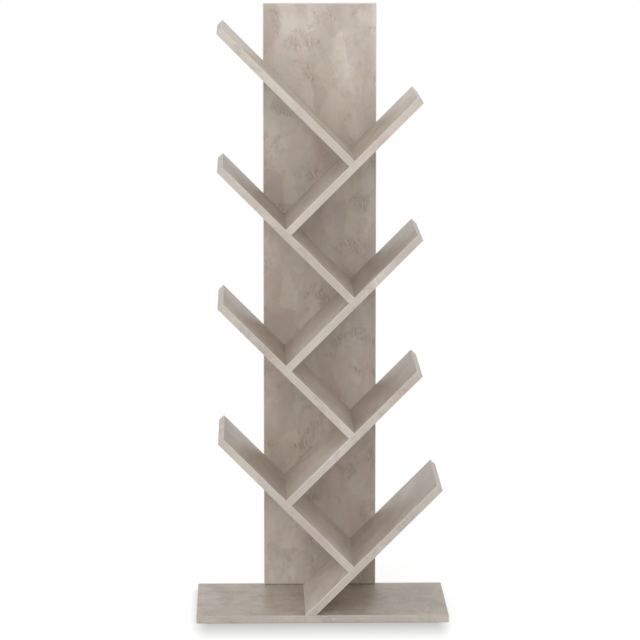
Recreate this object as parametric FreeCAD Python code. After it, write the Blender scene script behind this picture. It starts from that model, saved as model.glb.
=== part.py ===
import FreeCAD, Part
import math
import os
from collections import defaultdict, namedtuple
from FreeCAD import Placement, Rotation, Vector

# A tree shaped bookshelf of melamine faced chipboard, in millimetres: +Z up, +Y to the rear,
# with the origin on the floor under the middle of the base plate.

# Boards
board = 12.0                # thickness of every board
edging = 1.0                # plastic strip glued to each edge that shows
arris = 0.8                 # rounding along a strip's outer edges
arris_limit_share = 0.9     # of the strip's thickness

# Base plate and back panel, flush with each other at the rear
base_width = 400.0
base_depth = 240.0
panel_width = 183.0
panel_crown = 26.4          # panel above the highest shelf tip

# Shelves, stacked from the foot of the lowest one, which stands on the base plate
lean = 45.0                 # degrees, right-hand shelves above the level
levels = 4                  # shelves on each side
pitch = 152.0               # from one shelf's top face to the next one's on its side
shelf_length = 292.0
foot_shelf_length = 295.0   # along its top face, to the mitred foot
foot_offset = 27.3          # foot to the left of the base plate's middle
first_landing = 109.2       # from the foot up to the first left-hand shelf's top face

# Countersunk chipboard screws
screw_diameter = 4.0
screw_length = 40.0
head_diameter = 8.0
head_rim = 0.4              # straight side of the head
head_sink = 0.2             # head below the board's face
point_length = 5.0          # tapered tip
recess_span = 4.4           # cross recess, tip to tip
recess_slot = 1.0
recess_floor = 1.6
recess_depth = 2.0
screw_play = 0.25           # radial room in the board under the head
thread_play = 0.05          # radial room in the board that the thread bites
screw_spare = 1.5           # hole beyond the tip
shelf_screw_inset = 36.0    # from a shelf's landed end and from the panel's side
base_screw_count = 4
base_screw_spacing = 48.0

# Beech dowels
dowel_diameter = 6.0
dowel_length = 30.0
dowel_face_depth = 8.0      # part of it in the face that a board stands on
dowel_chamfer = 0.8
dowel_play = 0.05           # radial
dowel_spare = 0.5           # hole beyond each end
shelf_dowel_spacing = 128.0
base_dowel_spacing = 96.0

# How far a cut runs past what it cuts
overrun = 2.0

# Planes and directions that the pieces share
front = -base_depth / 2
rear = base_depth / 2
panel_front = rear - board
panel_middle = rear - board / 2
panel_side = panel_width / 2
shelf_middle = (front + panel_front) / 2
rise = math.radians(lean)
up = Vector(0, 0, 1)
rightward = Vector(1, 0, 0)
forward = Vector(0, -1, 0)

# A shelf's own frame starts where its top face meets the board it stands on. Its tip lies
# to the side +1 or -1 of that, along X, with the top face at zero and the underside below.
Shelf = namedtuple("Shelf", "name carrier side length mitre place")

nodes = {}
groups = defaultdict(list)
drills = defaultdict(list)


def stack_point(along_right, along_left):
    """World point at these distances from the foot, along right-hand and left-hand shelves."""
    across = along_right * math.cos(rise) - along_left * math.sin(rise)
    height = along_right * math.sin(rise) + along_left * math.cos(rise)
    return Vector(across - foot_offset, 0, board + height)


def shelf_stack():
    """All shelves from the foot up, each standing square on the one before it."""
    right_turn = Rotation(rightward, Vector(math.cos(rise), 0, math.sin(rise)))
    left_turn = Rotation(rightward, Vector(math.sin(rise), 0, -math.cos(rise)))
    mitre = board / math.tan(rise)
    foot = Placement(stack_point(0, 0), right_turn)
    shelves = [Shelf("foot_shelf", "base_plate", 1, foot_shelf_length, mitre, foot)]
    for level in range(levels):
        landing = stack_point(first_landing + level * pitch, level * pitch)
        name = f"left_shelf_{level + 1}"
        place = Placement(landing, left_turn)
        shelves.append(Shelf(name, shelves[-1].name, -1, shelf_length, 0, place))
        if level + 1 < levels:
            landing = stack_point(first_landing + level * pitch, (level + 1) * pitch)
            name = f"right_shelf_{level + 1}"
            place = Placement(landing, right_turn)
            shelves.append(Shelf(name, shelves[-1].name, 1, shelf_length, 0, place))
    return shelves


def block(x_span, y_span, z_span):
    """Box between the two limits given on each axis."""
    spans = [sorted(span) for span in (x_span, y_span, z_span)]
    sizes = [high - low for low, high in spans]
    return Part.makeBox(*sizes, Vector(*[low for low, high in spans]))


def soften(strip, axis, level):
    """Round the strip's long edges on its outer face, which lies at this level of the axis."""
    slack = edging / 2
    outer = []
    for edge in strip.Edges:
        on_face = all(abs(getattr(v.Point, axis) - level) < slack for v in edge.Vertexes)
        if on_face and edge.Length > board * 2:
            outer.append(edge)
    return strip.makeFillet(min(arris, edging * arris_limit_share), outer)


def turned(profile):
    """Solid of revolution about Z from (radius, height) points."""
    points = [Vector(radius, 0, height) for radius, height in profile]
    face = Part.Face(Part.makePolygon(points + points[:1]))
    return face.revolve(Vector(0, 0, 0), up, math.degrees(math.tau))


def placed(shape, *places):
    """Copy of a shape, moved by the last place first."""
    copy = shape.copy()
    for place in reversed(places):
        copy.Placement = place.multiply(copy.Placement)
    return copy


def make_base():
    """Base plate with a strip on all four edges."""
    side = base_width / 2
    core_x = (edging - side, side - edging)
    core_y = (front + edging, rear - edging)
    thick = (0, board)
    nodes["base_plate"] = block(core_x, core_y, thick)
    for name, inner, outer in (("front", core_y[0], front), ("rear", core_y[1], rear)):
        strip = block((-side, side), (inner, outer), thick)
        nodes[f"base_{name}_edging"] = soften(strip, "y", outer)
    for name, inner, outer in (("left", core_x[0], -side), ("right", core_x[1], side)):
        strip = block((inner, outer), core_y, thick)
        nodes[f"base_{name}_edging"] = soften(strip, "x", outer)


def make_panel(shelves):
    """Back panel on the base plate, with strips on its sides and top."""
    tips = [s.place.multVec(Vector(s.side * s.length, 0, 0)).z for s in shelves]
    top = max(tips) + panel_crown
    core_x = (edging - panel_side, panel_side - edging)
    thick = (panel_front, rear)
    nodes["back_panel"] = block(core_x, thick, (board, top - edging))
    for name, inner, outer in (("left", core_x[0], -panel_side), ("right", core_x[1], panel_side)):
        strip = block((inner, outer), thick, (board, top))
        nodes[f"back_panel_{name}_edging"] = soften(strip, "x", outer)
    strip = block(core_x, thick, (top - edging, top))
    nodes["back_panel_top_edging"] = soften(strip, "z", top)


def make_shelf(shelf):
    """One shelf with strips on its front, rear and tip; its landed end is left raw."""

    def plank(tip, y_low, y_high):
        outline = [(0, 0), (tip, 0), (tip, -board), (shelf.mitre, -board)]
        corners = [Vector(x, y_low, z) for x, z in outline]
        face = Part.Face(Part.makePolygon(corners + corners[:1]))
        return face.extrude(Vector(0, y_high - y_low, 0))

    tip = shelf.side * shelf.length
    core_tip = shelf.side * (shelf.length - edging)
    core_y = (front + edging, panel_front - edging)
    pieces = {
        shelf.name: plank(core_tip, *core_y),
        f"{shelf.name}_front_edging": soften(plank(tip, front, core_y[0]), "y", front),
        f"{shelf.name}_rear_edging": soften(plank(tip, core_y[1], panel_front), "y", panel_front),
        f"{shelf.name}_tip_edging": soften(block((core_tip, tip), core_y, (-board, 0)), "x", tip),
    }
    for name, piece in pieces.items():
        nodes[name] = placed(piece, shelf.place)


def screw_pieces():
    """Screw, hole under its head and hole for its thread, all pointing up from the face at zero."""
    shank = screw_diameter / 2
    head = head_diameter / 2
    cone_top = head_sink + head_rim
    cone_end = cone_top + head - shank
    tip = head_sink + screw_length
    screw = turned([
        (0, head_sink),
        (head, head_sink),
        (head, cone_top),
        (shank, cone_end),
        (shank, tip - point_length),
        (0, tip),
    ])
    floor = head_sink + recess_depth
    half_span = recess_span / 2
    half_slot = recess_slot / 2
    slot = block((-half_span, half_span), (-half_slot, half_slot), (head_sink, floor))
    cross_slot = block((-half_slot, half_slot), (-half_span, half_span), (head_sink, floor))
    taper = Part.makeCone(half_span, recess_floor / 2, recess_depth, Vector(0, 0, head_sink))
    screw = screw.cut(slot.fuse(cross_slot).common(taper))
    hole = shank + screw_play
    seat = turned([
        (0, -overrun),
        (head + cone_top + overrun, -overrun),
        (hole, cone_end - screw_play),
        (hole, board + overrun),
        (0, board + overrun),
    ])
    bite_length = tip + screw_spare - board + overrun
    bite = Part.makeCylinder(shank + thread_play, bite_length, Vector(0, 0, board - overrun))
    return screw.Solids[0], seat, bite


def dowel_pieces():
    """Dowel and its hole, pointing up from the face that the jointed board stands on."""
    radius = dowel_diameter / 2
    low = -dowel_face_depth
    high = dowel_length - dowel_face_depth
    dowel = turned([
        (0, low),
        (radius - dowel_chamfer, low),
        (radius, low + dowel_chamfer),
        (radius, high - dowel_chamfer),
        (radius - dowel_chamfer, high),
        (0, high),
    ])
    hole_length = dowel_length + dowel_spare * 2
    hole = Part.makeCylinder(radius + dowel_play, hole_length, Vector(0, 0, low - dowel_spare))
    return dowel, hole


def screw_up(shelves):
    """Screws through the panel into each shelf's rear edge, and through the base into the panel."""
    screw, seat, bite = screw_pieces()
    inward = Rotation(up, forward)
    for shelf in shelves:
        start = shelf.place.multVec(Vector(0, 0, -board / 2)).x
        heading = shelf.place.Rotation.multVec(Vector(shelf.side, 0, 0)).x
        reach = min((shelf.side * panel_side - start) / heading, shelf.length)
        for along in (shelf_screw_inset, reach - shelf_screw_inset):
            spot = shelf.place.multVec(Vector(shelf.side * along, 0, -board / 2))
            place = Placement(Vector(spot.x, rear, spot.z), inward)
            groups["shelf_screws"].append(placed(screw, place))
            drills["back_panel"].append(placed(seat, place))
            for name in (shelf.name, f"{shelf.name}_rear_edging"):
                drills[name].append(placed(bite, place))
    for number in range(base_screw_count):
        across = (number - (base_screw_count - 1) / 2) * base_screw_spacing
        place = Placement(Vector(across, panel_middle, 0), Rotation())
        groups["base_screws"].append(placed(screw, place))
        drills["base_plate"].append(placed(seat, place))
        drills["back_panel"].append(placed(bite, place))


def dowel_up(shelves):
    """Two dowels in each shelf's landed end, and two under the panel."""
    dowel, hole = dowel_pieces()
    for shelf in shelves[1:]:
        along_shelf = Rotation(up, Vector(shelf.side, 0, 0))
        for half in (-shelf_dowel_spacing / 2, shelf_dowel_spacing / 2):
            end_spot = Placement(Vector(0, shelf_middle + half, -board / 2), along_shelf)
            groups["shelf_dowels"].append(placed(dowel, shelf.place, end_spot))
            for name in (shelf.name, shelf.carrier):
                drills[name].append(placed(hole, shelf.place, end_spot))
    for half in (-base_dowel_spacing / 2, base_dowel_spacing / 2):
        place = Placement(Vector(half, panel_middle, board), Rotation())
        groups["base_dowels"].append(placed(dowel, place))
        for name in ("base_plate", "back_panel"):
            drills[name].append(placed(hole, place))


shelves = shelf_stack()
make_base()
make_panel(shelves)
for shelf in shelves:
    make_shelf(shelf)
screw_up(shelves)
dowel_up(shelves)

for name, cutters in drills.items():
    nodes[name] = nodes[name].cut(cutters).Solids[0]
for name, fasteners in groups.items():
    nodes[name] = Part.makeCompound(fasteners)

os.makedirs("parts", exist_ok=True)
for name, shape in nodes.items():
    shape.exportStep(f"parts/{name}.step")
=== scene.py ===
import math

import bpy
import numpy as np
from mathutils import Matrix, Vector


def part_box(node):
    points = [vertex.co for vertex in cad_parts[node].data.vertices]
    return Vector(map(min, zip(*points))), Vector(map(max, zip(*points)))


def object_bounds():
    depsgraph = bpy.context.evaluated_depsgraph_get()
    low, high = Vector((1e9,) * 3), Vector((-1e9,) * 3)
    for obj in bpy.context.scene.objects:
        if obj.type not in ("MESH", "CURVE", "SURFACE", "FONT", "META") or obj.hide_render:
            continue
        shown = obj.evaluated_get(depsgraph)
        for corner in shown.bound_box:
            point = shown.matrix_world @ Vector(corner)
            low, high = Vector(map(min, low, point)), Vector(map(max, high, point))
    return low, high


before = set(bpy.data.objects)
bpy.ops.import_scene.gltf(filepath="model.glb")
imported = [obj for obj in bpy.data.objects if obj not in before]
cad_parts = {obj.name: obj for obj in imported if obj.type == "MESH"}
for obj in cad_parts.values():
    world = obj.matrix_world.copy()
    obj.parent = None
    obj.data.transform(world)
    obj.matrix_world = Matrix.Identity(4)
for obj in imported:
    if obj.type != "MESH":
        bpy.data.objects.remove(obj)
cad_box = [list(corner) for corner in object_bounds()]

# Base plate
# One piece of 12 mm chipboard with melamine paper pressed on both faces, printed as trowelled plaster.
# It is cut crosswise from the sheet, lies flat on the floor and carries the back panel along its rear edge.


def linear(colour):
    """Linear RGBA of an sRGB hex colour."""
    channels = [int(colour[i:i + 2], 16) / 255 for i in (1, 3, 5)]
    return [c / 12.92 if c <= 0.04045 else ((c + 0.055) / 1.055) ** 2.4 for c in channels] + [1.0]


def add(tree, kind, inputs, **settings):
    """Add a node with these settings; an input takes a value, or the socket or node that feeds it.

    A node feeds from the first of its outputs that is in use.
    """
    made = tree.nodes.new(kind)
    for name, value in settings.items():
        setattr(made, name, value)
    for name, value in inputs.items():
        if isinstance(value, bpy.types.Node):
            value = next(output for output in value.outputs if output.enabled)
        if isinstance(value, bpy.types.NodeSocket):
            tree.links.new(value, made.inputs[name])
        else:
            made.inputs[name].default_value = value
    return made


def new_material(name):
    """Empty node material and its tree."""
    material = bpy.data.materials.new(name)
    material.use_nodes = True
    material.node_tree.nodes.clear()
    return material, material.node_tree


# Patterns are sized in millimetres, and everything else in metres
MM = 1000.0

# Inputs and output of a node that mixes two colours
SHARE = 0
FIRST = 6
SECOND = 7
MIXED = 2

# What the noise of the grit spans
GRIT_RANGE = {"From Min": 0.25, "From Max": 0.75}


def plaster_print(tree, turn, shift, depth):
    """Trowelled plaster as printed on the sheet, in mm along (X), across (Y) and through (Z) a board.

    Clouds drawn out along the sheet drift from dark to pale and towards a greenish grey, with a brown
    mottle. On them lie the trowel's lays, each with its own tone and a pink or green cast. Where the trowel
    pressed, the ground is stained darker and short ridges show, as the difference between a noise and the
    same noise a little to one side: dark in the groove and pale on the crest. Grit is drawn coarser than
    the real print, so that it shows. Depth sets how strongly mottle, tones, stains and ridges stand out.
    Returns the nodes of colour and grit.
    """
    place = add(tree, "ShaderNodeTexCoord", {})
    sheet = add(tree, "ShaderNodeMapping", {
        "Vector": place.outputs["Object"], "Location": shift, "Rotation": turn, "Scale": (MM, MM, MM)})

    # Clouds
    cloud_size = (140.0, 56.0, 88.0)
    dark_plaster = linear("#b5a99f")
    pale_plaster = linear("#c8beb6")
    greenish_plaster = linear("#bab1a3")
    drawn_out = add(tree, "ShaderNodeMapping", {
        "Vector": sheet, "Scale": [1 / size for size in cloud_size]})
    cloud = add(tree, "ShaderNodeTexNoise", {
        "Vector": drawn_out, "Scale": 1.0, "Detail": 3.0, "Roughness": 0.55, "Distortion": 0.4})
    drift = add(tree, "ShaderNodeSeparateColor", {"Color": cloud.outputs["Color"]})
    lightness = add(tree, "ShaderNodeMapRange", {
        "Value": drift.outputs["Red"], "From Min": 0.34, "From Max": 0.66},
        interpolation_type="SMOOTHSTEP")
    greenness = add(tree, "ShaderNodeMapRange", {
        "Value": drift.outputs["Green"], "From Min": 0.4, "From Max": 0.62, "To Max": 0.6},
        interpolation_type="SMOOTHSTEP")
    ground = add(tree, "ShaderNodeMix", {
        SHARE: lightness, FIRST: dark_plaster, SECOND: pale_plaster}, data_type="RGBA")
    ground = add(tree, "ShaderNodeMix", {
        SHARE: greenness, FIRST: ground, SECOND: greenish_plaster}, data_type="RGBA")

    # Brown mottle, whose noise also bends the lays and ridges
    mottle_size = 28.0
    bend_reach = 16.0
    brown_share = 0.3
    brown_plaster = linear("#b09d8b")
    mottle = add(tree, "ShaderNodeTexNoise", {
        "Vector": sheet, "Scale": 1 / mottle_size, "Detail": 4.0, "Roughness": 0.6, "Distortion": 0.6})
    bent = add(tree, "ShaderNodeVectorMath", {
        0: mottle.outputs["Color"], 1: (bend_reach,) * 3, 2: sheet}, operation="MULTIPLY_ADD")
    mottle = add(tree, "ShaderNodeSeparateColor", {"Color": mottle.outputs["Color"]})
    brown = add(tree, "ShaderNodeMapRange", {
        "Value": mottle.outputs["Red"], "From Min": 0.47, "From Max": 0.65, "To Max": brown_share * depth},
        interpolation_type="SMOOTHSTEP")
    ground = add(tree, "ShaderNodeMix", {
        SHARE: brown, FIRST: ground, SECOND: brown_plaster}, data_type="RGBA")

    # Lays of the trowel
    lay_size = (56.0, 22.0, 22.0)
    lay_slant = math.radians(12)
    lay_darker = 0.1
    lay_paler = 0.07
    green_cast = (1.0, 1.034, 1.005, 1.0)
    pink_cast = (1.0, 0.951, 0.979, 1.0)
    slanted = add(tree, "ShaderNodeMapping", {
        "Vector": bent, "Rotation": (0.0, 0.0, lay_slant), "Scale": [1 / size for size in lay_size]})
    lay = add(tree, "ShaderNodeTexVoronoi", {"Vector": slanted, "Scale": 1.0})
    lay = add(tree, "ShaderNodeSeparateColor", {"Color": lay.outputs["Color"]})
    lay_tone = add(tree, "ShaderNodeMapRange", {
        "Value": lay.outputs["Red"], "To Min": 1 - lay_darker * depth, "To Max": 1 + lay_paler * depth})
    lay_cast = add(tree, "ShaderNodeMix", {
        SHARE: lay.outputs["Green"], FIRST: green_cast, SECOND: pink_cast}, data_type="RGBA")
    laid_on = add(tree, "ShaderNodeMix", {
        SHARE: 1.0, FIRST: ground, SECOND: lay_cast}, data_type="RGBA", blend_type="MULTIPLY")
    laid_on = add(tree, "ShaderNodeMix", {
        SHARE: 1.0, FIRST: laid_on, SECOND: lay_tone}, data_type="RGBA", blend_type="MULTIPLY")

    # Stains where the trowel pressed
    patch_size = 40.0
    stain_share = 0.5
    stained_plaster = linear("#97877a")
    patch = add(tree, "ShaderNodeTexNoise", {
        "Vector": sheet, "Scale": 1 / patch_size, "Detail": 4.0, "Roughness": 0.6, "Distortion": 0.5})
    pressed = add(tree, "ShaderNodeMapRange", {
        "Value": patch, "From Min": 0.5, "From Max": 0.66}, interpolation_type="SMOOTHSTEP")
    stain = add(tree, "ShaderNodeMath", {0: pressed, 1: stain_share * depth}, operation="MULTIPLY")
    worked = add(tree, "ShaderNodeMix", {
        SHARE: stain, FIRST: laid_on, SECOND: stained_plaster}, data_type="RGBA")

    # Ridges in the stains, with a step of half a ridge's width to the side
    ridge_size = (10.0, 3.4, 6.0)
    ridge_slant = math.radians(14)
    ridge_step = (0.0, 0.5, 0.0)
    groove_share = 0.42
    crest_share = 0.5
    groove_plaster = linear("#85766a")
    crest_plaster = linear("#ddd6ce")
    swept = add(tree, "ShaderNodeMapping", {
        "Vector": bent, "Rotation": (0.0, 0.0, ridge_slant), "Scale": [1 / size for size in ridge_size]})
    beside = add(tree, "ShaderNodeVectorMath", {0: swept, 1: ridge_step}, operation="ADD")
    ridge, next_ridge = (
        add(tree, "ShaderNodeTexNoise", {"Vector": spot, "Scale": 1.0, "Detail": 2.0, "Distortion": 0.7})
        for spot in (swept, beside))
    relief = add(tree, "ShaderNodeMath", {0: ridge, 1: next_ridge}, operation="SUBTRACT")
    relief = add(tree, "ShaderNodeMath", {0: relief, 1: pressed}, operation="MULTIPLY")
    groove = add(tree, "ShaderNodeMapRange", {
        "Value": relief, "From Min": 0.03, "From Max": 0.22, "To Max": groove_share * depth})
    worked = add(tree, "ShaderNodeMix", {
        SHARE: groove, FIRST: worked, SECOND: groove_plaster}, data_type="RGBA")
    crest = add(tree, "ShaderNodeMapRange", {
        "Value": relief, "From Min": -0.03, "From Max": -0.22, "To Max": crest_share * depth})
    worked = add(tree, "ShaderNodeMix", {
        SHARE: crest, FIRST: worked, SECOND: crest_plaster}, data_type="RGBA")

    # Grit
    grit_size = 2.4
    grain = 0.035
    grit = add(tree, "ShaderNodeTexNoise", {
        "Vector": sheet, "Scale": 1 / grit_size, "Detail": 2.0, "Roughness": 0.6})
    grained = add(tree, "ShaderNodeMapRange", {
        "Value": grit, **GRIT_RANGE, "To Min": 1 - grain, "To Max": 1 + grain})
    colour = add(tree, "ShaderNodeMix", {
        SHARE: 1.0, FIRST: worked, SECOND: grained}, data_type="RGBA", blend_type="MULTIPLY")
    return colour, grit


ALONG = 0
ACROSS = 1
THROUGH = 2


def facing(tree, turn, axis):
    """How squarely a face looks along one of the board's own axes, 0 to 1."""
    place = add(tree, "ShaderNodeTexCoord", {})
    own = add(tree, "ShaderNodeMapping", {
        "Vector": place.outputs["Normal"], "Rotation": turn}, vector_type="VECTOR")
    split = add(tree, "ShaderNodeSeparateXYZ", {"Vector": own})
    return add(tree, "ShaderNodeMath", {0: split.outputs[axis]}, operation="ABSOLUTE")


def plaster_melamine(name, turn, shift, depth, painted_shading_tone=(1.0, 1.0, 1.0)):
    """Melamine board: the print is sealed under a satin resin with a fine pearl, drawn here as coarse as the
    grit so that it shows, and drilled or cut faces show chipboard.
    """
    flake_size = (3.5, 3.5, 0.9)
    pearl_height = 0.05
    satin_roughness = (0.36, 0.46)
    chipboard_roughness = 0.85
    material, tree = new_material(name)
    place = add(tree, "ShaderNodeTexCoord", {})
    pressed = add(tree, "ShaderNodeMapping", {
        "Vector": place.outputs["Object"], "Rotation": turn, "Scale": [MM / size for size in flake_size]})
    flake = add(tree, "ShaderNodeTexVoronoi", {"Vector": pressed, "Scale": 1.0})
    flake = add(tree, "ShaderNodeSeparateColor", {"Color": flake.outputs["Color"]})
    chipboard = add(tree, "ShaderNodeMix", {
        SHARE: flake.outputs["Red"], FIRST: linear("#8f7048"), SECOND: linear("#cfb183")}, data_type="RGBA")
    covered = add(tree, "ShaderNodeMapRange", {
        "Value": facing(tree, turn, THROUGH), "From Min": 0.88, "From Max": 0.96})
    decor, grit = plaster_print(tree, turn, shift, depth)
    # The tone is painted light and shade: boards of one print are made paler where they should look more lit
    # and darker where less
    shading_toned = add(tree, "ShaderNodeMix", {
        SHARE: 1.0, FIRST: decor, SECOND: (*painted_shading_tone, 1.0)}, data_type="RGBA", blend_type="MULTIPLY")
    colour = add(tree, "ShaderNodeMix", {
        SHARE: covered, FIRST: chipboard, SECOND: shading_toned}, data_type="RGBA")
    satin = add(tree, "ShaderNodeMapRange", {
        "Value": grit, **GRIT_RANGE, "To Min": satin_roughness[0], "To Max": satin_roughness[1]})
    rough = add(tree, "ShaderNodeMapRange", {
        "Value": covered, "To Min": chipboard_roughness, "To Max": satin})
    pearl = add(tree, "ShaderNodeBump", {"Height": grit, "Distance": pearl_height / MM, "Strength": 0.5})
    shader = add(tree, "ShaderNodeBsdfPrincipled", {
        "Base Color": colour, "Roughness": rough, "IOR": 1.5, "Normal": pearl})
    add(tree, "ShaderNodeOutputMaterial", {"Surface": shader})
    return material


def dress(node, material):
    """Give a CAD node one material in all its slots."""
    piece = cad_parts[node]
    piece.data.materials.clear()
    piece.data.materials.append(material)


def crosswise(turn):
    """The turn of the same board when it is cut across the sheet, which swaps X and Y."""
    return (*turn[:2], math.radians(90))


# A board's turn brings its length to X, its width to Y and its thickness to Z.
LYING = (0.0, 0.0, 0.0)
# Its print is toned darker and warmer than the panel's, which is painted shade: the plate is made to look
# less lit
dress("base_plate", plaster_melamine(
    "plaster_melamine_base", turn=crosswise(LYING), shift=(370.0, 40.0, 0.0), depth=0.95,
    painted_shading_tone=(0.88, 0.865, 0.82)))

# Back panel
# The same board, standing on the base plate's rear edge, with its print running upwards.
# Screws from below and two dowels hold it, and a fine dark line of painted shade runs along its foot, where
# the joint with the base plate would lie in shadow.
UPRIGHT = (math.radians(90), 0.0, math.radians(90))
SHADED_SEAM = 1.2
SHADED_SEAM_END = 2.0
SEAM_SHADE = 0.4
standing = plaster_melamine(
    "plaster_melamine_panel", turn=UPRIGHT, shift=(-1560.0, -200.0, 90.0), depth=0.95)
tree = standing.node_tree
finish = tree.nodes["Principled BSDF"].inputs["Base Color"]
place = add(tree, "ShaderNodeTexCoord", {})
height = add(tree, "ShaderNodeSeparateXYZ", {"Vector": place.outputs["Object"]})
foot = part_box("back_panel")[0][2]
# Painted shade: the panel is darkened along its foot, as if the joint with the base plate lay in shadow
seam_shadow = add(tree, "ShaderNodeMapRange", {
    "Value": height.outputs["Z"], "From Min": foot + SHADED_SEAM / MM, "From Max": foot + SHADED_SEAM_END / MM,
    "To Min": SEAM_SHADE})
seam_shaded = add(tree, "ShaderNodeMix", {
    SHARE: 1.0, FIRST: finish.links[0].from_socket, SECOND: seam_shadow}, data_type="RGBA", blend_type="MULTIPLY")
tree.links.new(seam_shaded.outputs[MIXED], finish)
dress("back_panel", standing)

# Slanted shelves
# Eight boards cut crosswise from the same sheets, so that the print runs from front to rear.
# Each is screwed through the panel from behind and, but for the foot shelf, dowelled to the one below it.
LEFT_LEAN = (0.0, math.radians(-45), 0.0)
RIGHT_LEAN = (0.0, math.radians(45), 0.0)
LEFT_SHELVES = [f"left_shelf_{level}" for level in (1, 2, 3, 4)]
RIGHT_SHELVES = ["foot_shelf"] + [f"right_shelf_{level}" for level in (1, 2, 3)]
for side, turn, shelves in (("left", LEFT_LEAN, LEFT_SHELVES), ("right", RIGHT_LEAN, RIGHT_SHELVES)):
    # Their print is toned paler than the panel's, which is painted light: the shelves are made to look lit
    # from above
    sheet = plaster_melamine(
        f"plaster_melamine_{side}_shelves", turn=crosswise(turn), shift=(150.0, 80.0, 0.0), depth=0.45,
        painted_shading_tone=(1.11, 1.1, 1.08))
    for shelf in shelves:
        dress(shelf, sheet)

# Edging
# ABS strips, 1 mm thick, glued on with hot melt and trimmed flush, with a faded print on their outer face.
# Scraping the arris bares the plastic there. It is drawn pale on the panel and shelves, which also paints a
# highlight along the arris, and greyer on the base plate, which is painted shade on the same plastic.


def abs_edging(name, turn, outward, depth, core_with_painted_light):
    """Printed ABS strip: print on the face that looks outward, bare satin plastic round its edges."""
    strip_cut = (40.0, 25.0, 10.0)
    faded_share = 0.25
    faded_print = linear("#bdb6ad")
    satin_roughness = (0.37, 0.47)
    material, tree = new_material(name)
    colour, grit = plaster_print(tree, turn, strip_cut, depth)
    faded = add(tree, "ShaderNodeMix", {
        SHARE: faded_share, FIRST: colour, SECOND: faded_print}, data_type="RGBA")
    printed = add(tree, "ShaderNodeMapRange", {
        "Value": facing(tree, turn, outward), "From Min": 0.9, "From Max": 0.99})
    whole = add(tree, "ShaderNodeMix", {
        SHARE: printed, FIRST: linear(core_with_painted_light), SECOND: faded}, data_type="RGBA")
    satin = add(tree, "ShaderNodeMapRange", {
        "Value": grit, **GRIT_RANGE, "To Min": satin_roughness[0], "To Max": satin_roughness[1]})
    shader = add(tree, "ShaderNodeBsdfPrincipled", {
        "Base Color": whole, "Roughness": satin, "IOR": 1.5})
    add(tree, "ShaderNodeOutputMaterial", {"Surface": shader})
    return material


# Painted light: the pale core doubles as a highlight along the arris, and the grey core is the same plastic
# painted in shade
GREY_CORE_SHADED = "#b4aca3"
PALE_CORE_AND_HIGHLIGHT = "#dcd5cc"
SIDE_DEPTH = 0.8
END_DEPTH = 0.5

# Kind, turn, bare plastic and the painted light on it, boards, edges along their sides and edges at their
# ends
EDGED = (
    ("base", LYING, GREY_CORE_SHADED, ["base"], ("front", "rear"), ("left", "right")),
    ("panel", UPRIGHT, PALE_CORE_AND_HIGHLIGHT, ["back_panel"], ("left", "right"), ("top",)),
    ("left_shelf", LEFT_LEAN, PALE_CORE_AND_HIGHLIGHT, LEFT_SHELVES, ("front", "rear"), ("tip",)),
    ("right_shelf", RIGHT_LEAN, PALE_CORE_AND_HIGHLIGHT, RIGHT_SHELVES, ("front", "rear"), ("tip",)),
)
for kind, turn, core_with_painted_light, boards, sides, ends in EDGED:
    runs = (("side", ACROSS, SIDE_DEPTH, sides), ("end", ALONG, END_DEPTH, ends))
    for run, outward, depth, edges in runs:
        strip = abs_edging(f"abs_{kind}_{run}_edging", turn, outward, depth, core_with_painted_light)
        for board in boards:
            for edge in edges:
                dress(f"{board}_{edge}_edging", strip)

# Screws
# Countersunk chipboard screws with a cross recess, drawn in flush from behind and from below.
# Bright zinc plating on steel, with a faint cool and yellow spangle.
SPANGLE = 1.2
zinc, tree = new_material("zinc_plated_steel")
place = add(tree, "ShaderNodeTexCoord", {})
spangle = add(tree, "ShaderNodeTexNoise", {
    "Vector": place.outputs["Object"], "Scale": MM / SPANGLE, "Detail": 3.0})
tint = add(tree, "ShaderNodeMix", {
    SHARE: spangle, FIRST: linear("#b3b4b4"), SECOND: linear("#cfccc2")}, data_type="RGBA")
sheen = add(tree, "ShaderNodeMapRange", {"Value": spangle, "To Min": 0.24, "To Max": 0.46})
shader = add(tree, "ShaderNodeBsdfPrincipled", {"Base Color": tint, "Metallic": 1.0, "Roughness": sheen})
add(tree, "ShaderNodeOutputMaterial", {"Surface": shader})
for group in ("shelf_screws", "base_screws"):
    dress(group, zinc)

# Dowels
# Turned beech pins, glued into both boards and hidden in the joints.
# Beech is pale pink brown with short darker flecks.
FLECK = 1.6
beech, tree = new_material("beech")
place = add(tree, "ShaderNodeTexCoord", {})
fleck = add(tree, "ShaderNodeTexNoise", {
    "Vector": place.outputs["Object"], "Scale": MM / FLECK, "Detail": 2.0})
dark = add(tree, "ShaderNodeMapRange", {"Value": fleck, "From Min": 0.45, "From Max": 0.7})
wood = add(tree, "ShaderNodeMix", {
    SHARE: dark, FIRST: linear("#d6b48c"), SECOND: linear("#b98f63")}, data_type="RGBA")
shader = add(tree, "ShaderNodeBsdfPrincipled", {"Base Color": wood, "Roughness": 0.6})
add(tree, "ShaderNodeOutputMaterial", {"Surface": shader})
for group in ("shelf_dowels", "base_dowels"):
    dress(group, beech)

# Floor
# A matt white studio floor. A glow that only the camera and reflections see makes it plain white, and sinks
# near the base plate, most of all in front, so that the lit floor's shadow shows; the shape of that sunk
# glow is a painted shadow.


def seen_rays(tree):
    """1 for a ray from the camera, a reflection or glass, and 0 for light that falls on the object."""
    path = add(tree, "ShaderNodeLightPath", {})
    seen = path.outputs["Is Camera Ray"]
    for kind in ("Is Glossy Ray", "Is Transmission Ray"):
        seen = add(tree, "ShaderNodeMath", {0: seen, 1: path.outputs[kind]}, operation="MAXIMUM")
    return seen


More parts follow.
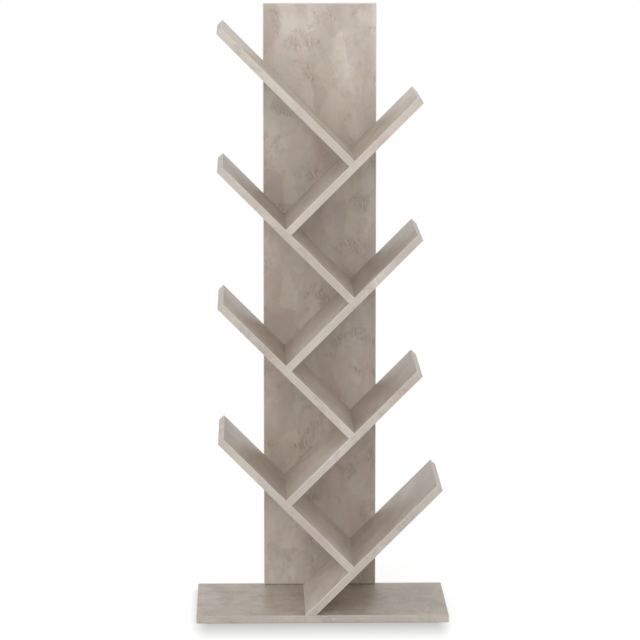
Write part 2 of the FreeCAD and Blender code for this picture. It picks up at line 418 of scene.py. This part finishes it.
FLOOR_HALF = 4.0
FLOOR_DROP = 0.0002
corners = np.array([(-1, -1, 0), (1, -1, 0), (1, 1, 0), (-1, 1, 0)], float) * FLOOR_HALF
corners[:, 2] = cad_box[0][2] - FLOOR_DROP
mesh = bpy.data.meshes.new("studio_floor")
mesh.from_pydata(corners.tolist(), [], [(0, 1, 2, 3)])
floor = bpy.data.objects.new("studio_floor", mesh)
bpy.context.scene.collection.objects.link(floor)

# The glow rises with the distance from the base plate, which counts once in front and several times over on
# the other sides. This shape paints the shadow's reach: long in front, short at the sides and rear.
FRONT = 1.0
REAR = 5.0
LEFT = 4.0
RIGHT = 5.0
SHADOW_INSET = 0.02
SHADOW_REACH = 0.13
GLOW_NEAR = 0.16
GLOW_FAR = 0.65
half_width = cad_box[1][0] - SHADOW_INSET
half_depth = cad_box[1][1]
paper, tree = new_material("white_floor_with_painted_shadow")
place = add(tree, "ShaderNodeTexCoord", {})
front_right = add(tree, "ShaderNodeMapping", {
    "Vector": place.outputs["Object"], "Location": (-half_width * RIGHT, -half_depth * FRONT, 0),
    "Scale": (RIGHT, -FRONT, 0)})
rear_left = add(tree, "ShaderNodeMapping", {
    "Vector": place.outputs["Object"], "Location": (-half_width * LEFT, -half_depth * REAR, 0),
    "Scale": (-LEFT, REAR, 0)})
away = add(tree, "ShaderNodeVectorMath", {0: front_right, 1: rear_left}, operation="MAXIMUM")
away = add(tree, "ShaderNodeVectorMath", {0: away, 1: (0, 0, 0)}, operation="MAXIMUM")
away = add(tree, "ShaderNodeVectorMath", {0: away}, operation="LENGTH")
glow_with_painted_shadow = add(tree, "ShaderNodeMapRange", {
    "Value": away, "From Max": SHADOW_REACH, "To Min": GLOW_NEAR, "To Max": GLOW_FAR})
glow = add(tree, "ShaderNodeEmission", {"Color": (1, 1, 1, 1), "Strength": glow_with_painted_shadow})
pale = add(tree, "ShaderNodeBsdfDiffuse", {"Color": linear("#bcbcbc")})
lit = add(tree, "ShaderNodeAddShader", {0: pale, 1: glow})
matt = add(tree, "ShaderNodeBsdfDiffuse", {"Color": linear("#b4b4b4")})
mixed = add(tree, "ShaderNodeMixShader", {0: seen_rays(tree), 1: matt, 2: lit})
add(tree, "ShaderNodeOutputMaterial", {"Surface": mixed})
mesh.materials.append(paper)

# Light
# A white tent all round, one large soft box in front, and a weaker one lower down to the left.
# The camera and reflections see the tent as plain white.
TENT_STRENGTH = 0.7
LIT_POINT = (0.0, 0.0, 0.5)
world = bpy.data.worlds.new("white_tent")
world.use_nodes = True
bpy.context.scene.world = world
tree = world.node_tree
tree.nodes.clear()
room = add(tree, "ShaderNodeBackground", {"Color": (1, 1, 1, 1), "Strength": TENT_STRENGTH})
white = add(tree, "ShaderNodeBackground", {"Color": (1, 1, 1, 1), "Strength": 1.0})
mixed = add(tree, "ShaderNodeMixShader", {0: seen_rays(tree), 1: room, 2: white})
add(tree, "ShaderNodeOutputWorld", {"Surface": mixed})


def soft_box(name, place, size, power):
    """Rectangular area lamp at a place, facing the object."""
    lamp = bpy.data.lights.new(name, "AREA")
    lamp.shape = "RECTANGLE"
    lamp.size, lamp.size_y = size
    lamp.energy = power
    holder = bpy.data.objects.new(name, lamp)
    holder.location = place
    holder.rotation_euler = (Vector(LIT_POINT) - Vector(place)).to_track_quat("-Z", "Y").to_euler()
    holder.visible_camera = False
    bpy.context.scene.collection.objects.link(holder)


soft_box("front_box", place=(0.0, -3.6, 1.7), size=(3.0, 2.4), power=57.5)
soft_box("left_box", place=(-2.0, -3.2, 1.1), size=(2.4, 1.8), power=18.0)

# Camera
# At the photograph's eye height, a little to the left, far off with a long lens.
# It has no shift, so that the object stays in the frame from other sides.
EYE = (-0.12, -5.672, 1.284)
AIM = (-0.0018, 0.0, 0.4676)
LENS = 201.6
lens = bpy.data.cameras.new("camera")
lens.lens = LENS
camera = bpy.data.objects.new("camera", lens)
camera.location = EYE
camera.rotation_euler = (Vector(AIM) - Vector(EYE)).to_track_quat("-Z", "Y").to_euler()
bpy.context.scene.collection.objects.link(camera)
bpy.context.scene.camera = camera
bpy.context.scene.view_settings.view_transform = "Standard"
